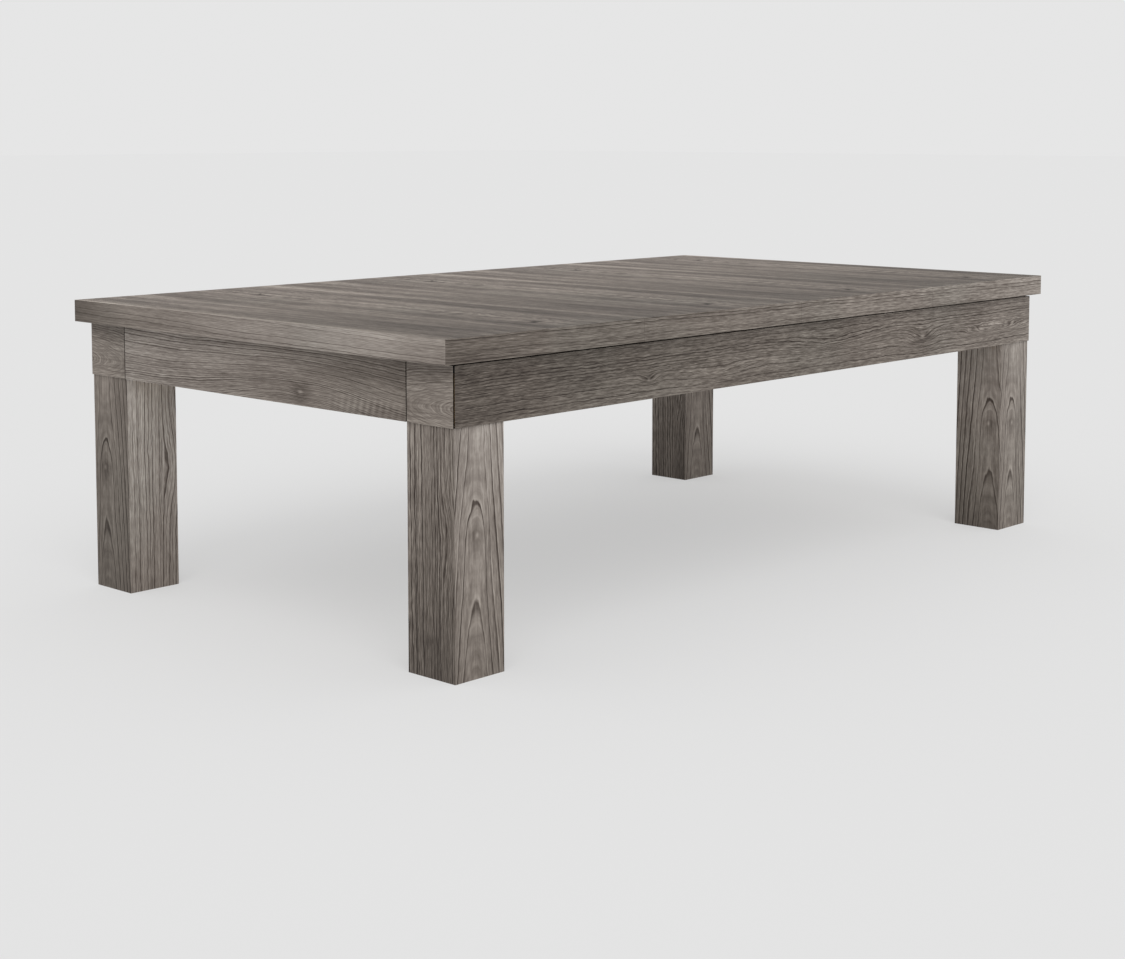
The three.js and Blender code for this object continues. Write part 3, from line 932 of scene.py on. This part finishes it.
def make_pocket_lip(name, radius, x, y, opening):
    """A moulded bead round a pocket's mouth. It stops at the cushions, where the casting's
    hole is open towards the bed: opening is half the angle of that gap."""
    bead = 2.2 * MM
    sunk = 1.3 * MM
    steps = 40
    sides = 10
    taper = 6
    thin = 0.35
    start = math.atan2(-y, -x) + opening
    sweep = 2 * math.pi - 2 * opening
    form = bmesh.new()
    rows = []
    for step in range(steps + 1):
        angle = start + sweep * step / steps
        fade = min(1.0, taper * step / steps, taper * (steps - step) / steps)
        size = bead * (thin + (1 - thin) * fade)
        row = []
        for turn in range(sides):
            roll = 2 * math.pi * turn / sides
            out = radius + bead + size * math.cos(roll)
            height = RAIL_TOP - sunk + size * math.sin(roll)
            place = (x + out * math.cos(angle), y + out * math.sin(angle), height)
            row.append(form.verts.new(place))
        rows.append(row)
    add_skin(form, rows)
    finish_piece(f"pocket_lip_{name}", form, PLASTIC, "table")


def make_pocket_lips():
    for corner, (flip_x, flip_y) in CORNERS.items():
        make_pocket_lip(corner, CORNER_HOLE_RADIUS, flip_x * CORNER_HOLE.x, flip_y * CORNER_HOLE.y,
                        opening=math.radians(62))
    for side, flip in LONG_SIDES.items():
        make_pocket_lip(f"{side}_middle", SIDE_HOLE_RADIUS, 0.0, flip * SIDE_HOLE.y,
                        opening=math.radians(75))


def make_sights():
    """Eighteen aiming marks let into the rails, an eighth of the playing length apart."""
    spacing = NOSE_X / 4
    behind_nose = 93.7 * MM
    profile = rounded_disc(5.5 * MM, RAIL_TOP - 1.0 * MM, RAIL_TOP + 0.35 * MM, 0.3 * MM)
    for corner, (flip_x, flip_y) in CORNERS.items():
        form = bmesh.new()
        for step in (1, 2, 3):
            add_turned(form, profile, flip_x * step * spacing, flip_y * (NOSE_Y + behind_nose))
        finish_piece(f"sights_{corner}", form, PEARL, "table")
    for side, flip in ENDS.items():
        form = bmesh.new()
        for step in (-1, 0, 1):
            add_turned(form, profile, flip * (NOSE_X + behind_nose), step * spacing)
        finish_piece(f"sights_{side}", form, PEARL, "table")


def make_spots():
    """The two black spots where balls are set, halfway from the middle to each end."""
    top = SLATE_TOP + CLOTH_THICKNESS
    for name, side in (("head_spot", -1), ("foot_spot", 1)):
        form = bmesh.new()
        add_turned(form, rounded_disc(5 * MM, top - 0.2 * MM, top + 0.08 * MM, 0.05 * MM),
                   side * NOSE_X / 2, 0.0, sides=28)
        finish_piece(name, form, PLASTIC, "table")


def make_rail_bolts():
    """Bolts that pull the rails down through the slates, seen from below."""
    long_rail_inset = 42 * MM
    end_rail_inset = 26 * MM
    along_long_sides = (-980, -575, -170, 170, 575, 980)
    along_ends = (-400, 0, 400)
    form = bmesh.new()
    for flip_y in (-1, 1):
        for x in along_long_sides:
            y = flip_y * (RAIL_INNER_Y + long_rail_inset)
            add_hex_bolt(form, x * MM, y, SLATE_BOTTOM, -1)
    for flip_x in (-1, 1):
        for y in along_ends:
            x = flip_x * (RAIL_INNER_X + end_rail_inset)
            add_hex_bolt(form, x, y * MM, SLATE_BOTTOM, -1)
    finish_piece("rail_bolts", form, ZINC, "table")


def make_leg_bolts():
    """Four bolts down through the leg board into each leg."""
    board_top = high_corner("leg_board_left").z
    insets = (28 * MM, 90 * MM)
    for corner, (flip_x, flip_y) in CORNERS.items():
        leg_low, leg_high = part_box(f"leg_{corner}")
        inner_x = leg_low.x if flip_x > 0 else leg_high.x
        inner_y = leg_low.y if flip_y > 0 else leg_high.y
        form = bmesh.new()
        for along in insets:
            for across in insets:
                x = inner_x + flip_x * along
                y = inner_y + flip_y * across
                add_hex_bolt(form, x, y, board_top, 1)
        finish_piece(f"leg_bolts_{corner}", form, ZINC, "table")


def make_corner_blocks():
    """Glue blocks in the cabinet's corners, standing on the leg boards."""
    inner_x = low_corner("cabinet_right").x
    inner_y = low_corner("cabinet_back").y
    bottom = high_corner("leg_board_left").z
    size = 48 * MM
    edge = 0.25 * size
    plan = [(0, 0), (size, 0), (size, edge), (edge, size), (0, size)]
    for corner, (flip_x, flip_y) in CORNERS.items():
        form = bmesh.new()
        rows = [[form.verts.new((flip_x * (inner_x - x), flip_y * (inner_y - y), z))
                 for x, y in plan] for z in (bottom, SLATE_BOTTOM)]
        add_skin(form, rows)
        box_low = (min(v.co.x for v in form.verts), min(v.co.y for v in form.verts), bottom)
        box_high = (max(v.co.x for v in form.verts), max(v.co.y for v in form.verts), SLATE_BOTTOM)
        material = wood(f"block_{corner}", box_low, box_high, "ZXY",
                        (Figure(seed=110.0 + flip_x + 2 * flip_y, ring=0.004, flecks=(0.1, 0.1)),),
                        stops=SOFTWOOD)
        block = finish_piece(f"corner_block_{corner}", form, material, "table",
                             smooth=False)
        ease(block, 1.0)


def leaf_span(leaf):
    panel_low, panel_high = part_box(f"leaf_{leaf}_panel")
    return panel_low.x, panel_high.x


def make_batten(leaf, number, x):
    """A batten under a leaf, with slanted ends and its screws."""
    half_length = 500 * MM
    half_width = 27 * MM
    depth = 17 * MM
    end_slant = 12 * MM
    screw_spacing = 220
    box_low = (x - half_width, -half_length, LEAF_BOTTOM - depth)
    box_high = (x + half_width, half_length, LEAF_BOTTOM)
    form = bmesh.new()
    add_block(form, box_low, box_high)
    for vertex in form.verts:
        if vertex.co.z < LEAF_BOTTOM - depth / 2:
            vertex.co.y *= 1 - end_slant / half_length
    figure = Figure(seed=120.0 + leaf * 2 + number, flecks=(0.1, 0.1), streaks=0.6)
    material = wood(f"batten_{leaf}_{number}", box_low, box_high, "YXZ", (figure,),
                    stops=SOFTWOOD)
    name = f"leaf_{leaf}_batten_{number}"
    batten = finish_piece(name, form, material, f"leaf_{leaf}", smooth=False)
    ease(batten, 2.0)

    screws = bmesh.new()
    profile = [(radius, LEAF_BOTTOM - depth - height)
               for radius, height in rounded_disc(4.2 * MM, 0, 1.2 * MM, 1.0 * MM)]
    for step in (-2, -1, 0, 1, 2):
        add_turned(screws, profile, x, step * screw_spacing * MM, sides=20)
    finish_piece(f"{name}_screws", screws, ZINC, f"leaf_{leaf}")


def make_leaf_battens():
    """Two battens screwed under each leaf to keep it flat, clear of the cushions."""
    for leaf in LEAVES:
        start, end = leaf_span(leaf)
        for number, part in enumerate((0.25, 0.75), 1):
            make_batten(leaf, number, start + (end - start) * part)


def felt_pad_places(leaf):
    """Over the long rails near a leaf's two sides, and over the end rail under an end leaf."""
    inset = 45 * MM
    from_middle = 300 * MM
    start, end = leaf_span(leaf)
    places = [(x, flip * RAIL_MIDDLE_Y) for x in (start + inset, end - inset) for flip in (-1, 1)]
    if leaf in END_LEAVES:
        flip_x = END_LEAVES[leaf]
        end_of_rail = high_corner("rail_front_right").x - inset
        places = [(x, y) for x, y in places if abs(x) < end_of_rail]
        places += [(flip_x * end_of_rail, flip * RAIL_MIDDLE_Y) for flip in (-1, 1)]
        places += [(flip_x * RAIL_MIDDLE_X, flip * from_middle) for flip in (-1, 1)]
    return places


def make_felt_pads():
    """Round pads between each leaf and the rails that it stands on."""
    clear_of_pocket = 95 * MM
    disc = rounded_disc(12.5 * MM, -LEAF_BOTTOM, -RAIL_TOP, 0.6 * MM)
    profile = [(radius, -height) for radius, height in disc]
    for leaf in LEAVES:
        form = bmesh.new()
        for x, y in felt_pad_places(leaf):
            clear_x = math.copysign(max(abs(x), clear_of_pocket), x)
            add_turned(form, profile, clear_x, y, sides=28)
        finish_piece(f"leaf_{leaf}_felt_pads", form, FELT, f"leaf_{leaf}")


def make_foot_nuts():
    """The hexagon that a spanner turns, on top of each levelling foot."""
    for corner in CORNERS:
        foot_low, foot_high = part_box(f"foot_{corner}")
        x, y = ((foot_low[i] + foot_high[i]) / 2 for i in (0, 1))
        form = bmesh.new()
        profile = [(0, 7.5), (9.0, 7.5), (9.8, 8.3), (9.8, 11.2), (9.0, 11.8), (0, 11.8)]
        add_turned(form, [(r * MM, z * MM) for r, z in profile], x, y, sides=6)
        finish_piece(f"foot_nut_{corner}", form, ZINC, f"foot_{corner}")


# ------------------------------------------------ the whole table

make_camera()
make_studio()
make_key_light()

ZINC = zinc_plate()
PLASTIC = moulded_plastic()
PEARL = pearl()
CLOTH = napped_cloth("bed_wool", (24, 66, 46), (70, 128, 98))
CUSHION_CLOTH = napped_cloth("cushion_wool", (24, 66, 46), (70, 128, 98))
FELT = napped_cloth("felt_pad", (60, 62, 60), (120, 124, 120))

dress_dining_top()
dress_aprons()
dress_legs()
dress_rails()
dress_cabinet()
dress_stone_and_metal()
make_bed_cloth()
make_cushions()
make_pocket_lips()
make_sights()
make_spots()
make_rail_bolts()
make_leg_bolts()
make_corner_blocks()
make_leaf_battens()
make_felt_pads()
make_foot_nuts()
